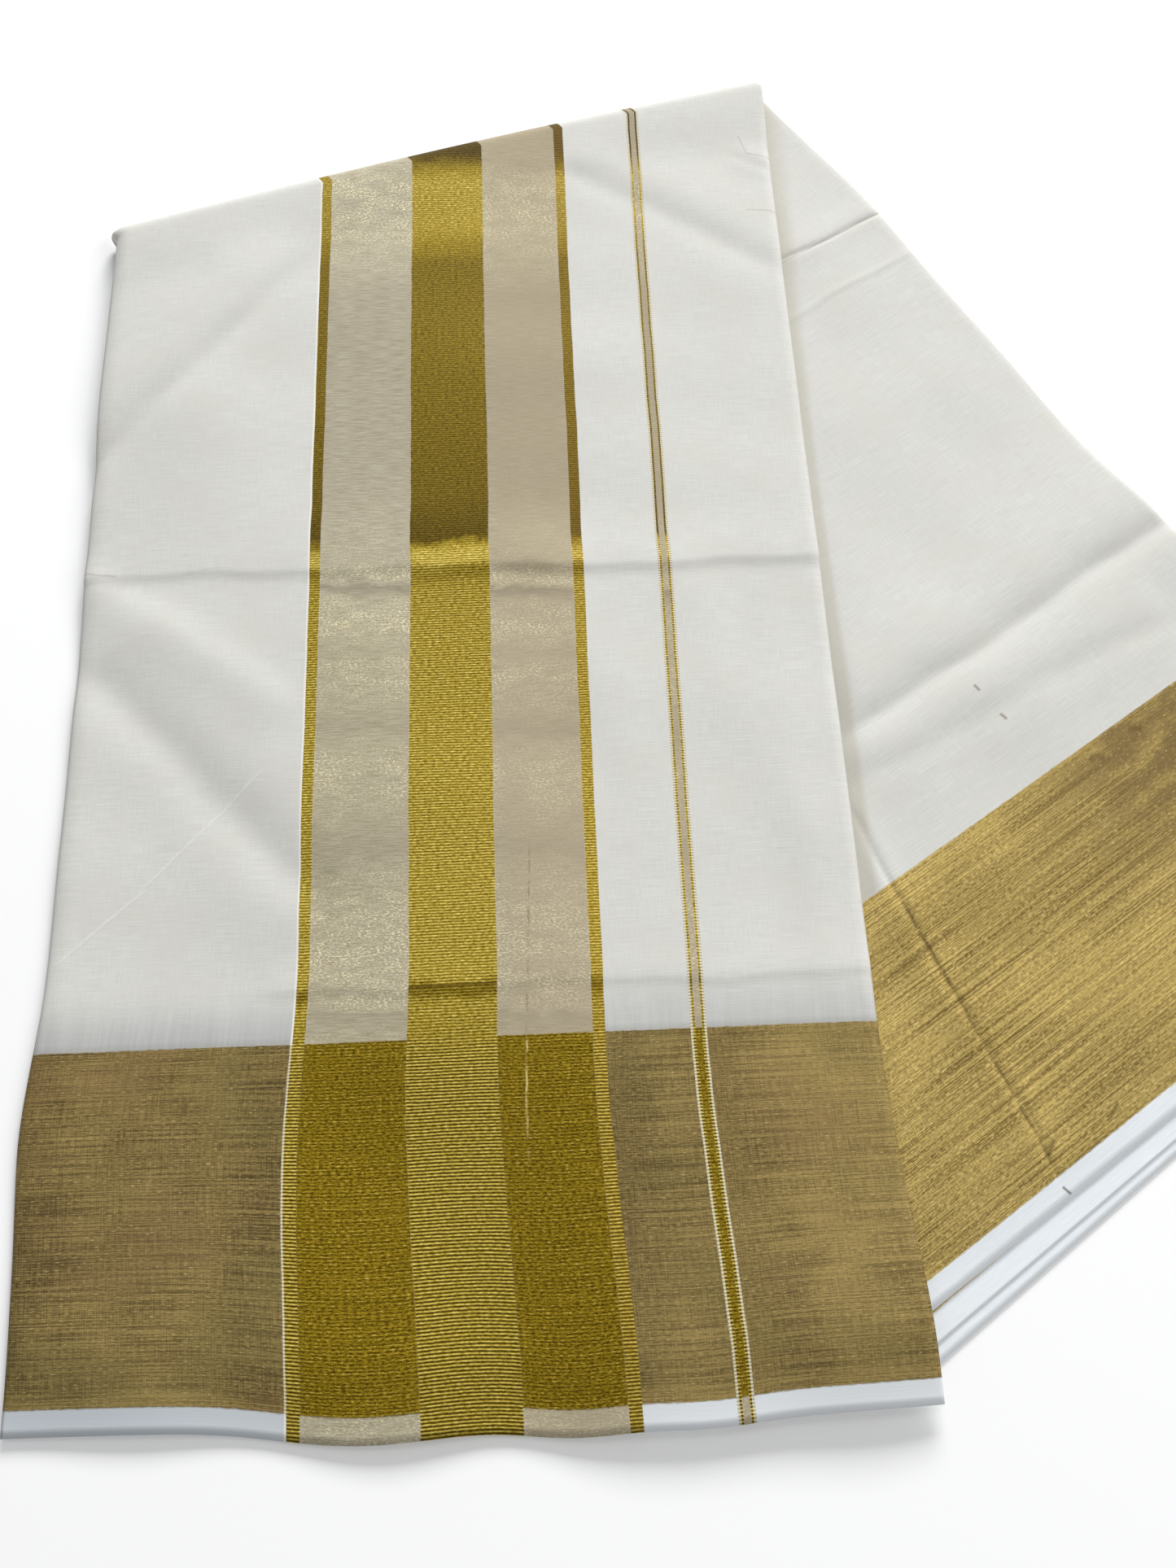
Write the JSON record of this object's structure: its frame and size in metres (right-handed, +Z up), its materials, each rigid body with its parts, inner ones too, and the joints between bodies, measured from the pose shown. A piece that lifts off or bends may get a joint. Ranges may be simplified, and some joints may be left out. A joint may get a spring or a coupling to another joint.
{
  "type": "kasavu saree",
  "caption": "Flat-folded saree in cream cotton with wide gold borders, turned over at the top along a slanting fold so that its two halves lie in a V.",
  "frame": {"origin": "middle of the garment's bounding box, on the surface it lies on", "axes": "+Z up from the surface, +Y towards the slanting fold at the top, away from the viewer, +X to the right, where the far half comes out"},
  "size_m": [0.6397, 0.6667, 0.0135],
  "materials": {
    "kasavu_cotton": "plain-woven cream cotton with gold zari bands and borders",
    "folded_cotton": "plain-woven cream cotton with gold zari at its selvedges"
  },
  "bodies": {
    "root": {"pallu_front": "kasavu_cotton", "pallu_under": "kasavu_cotton", "body_top": "kasavu_cotton", "body_second": "kasavu_cotton", "hidden_layers": "folded_cotton"}
  },
  "joints": []
}
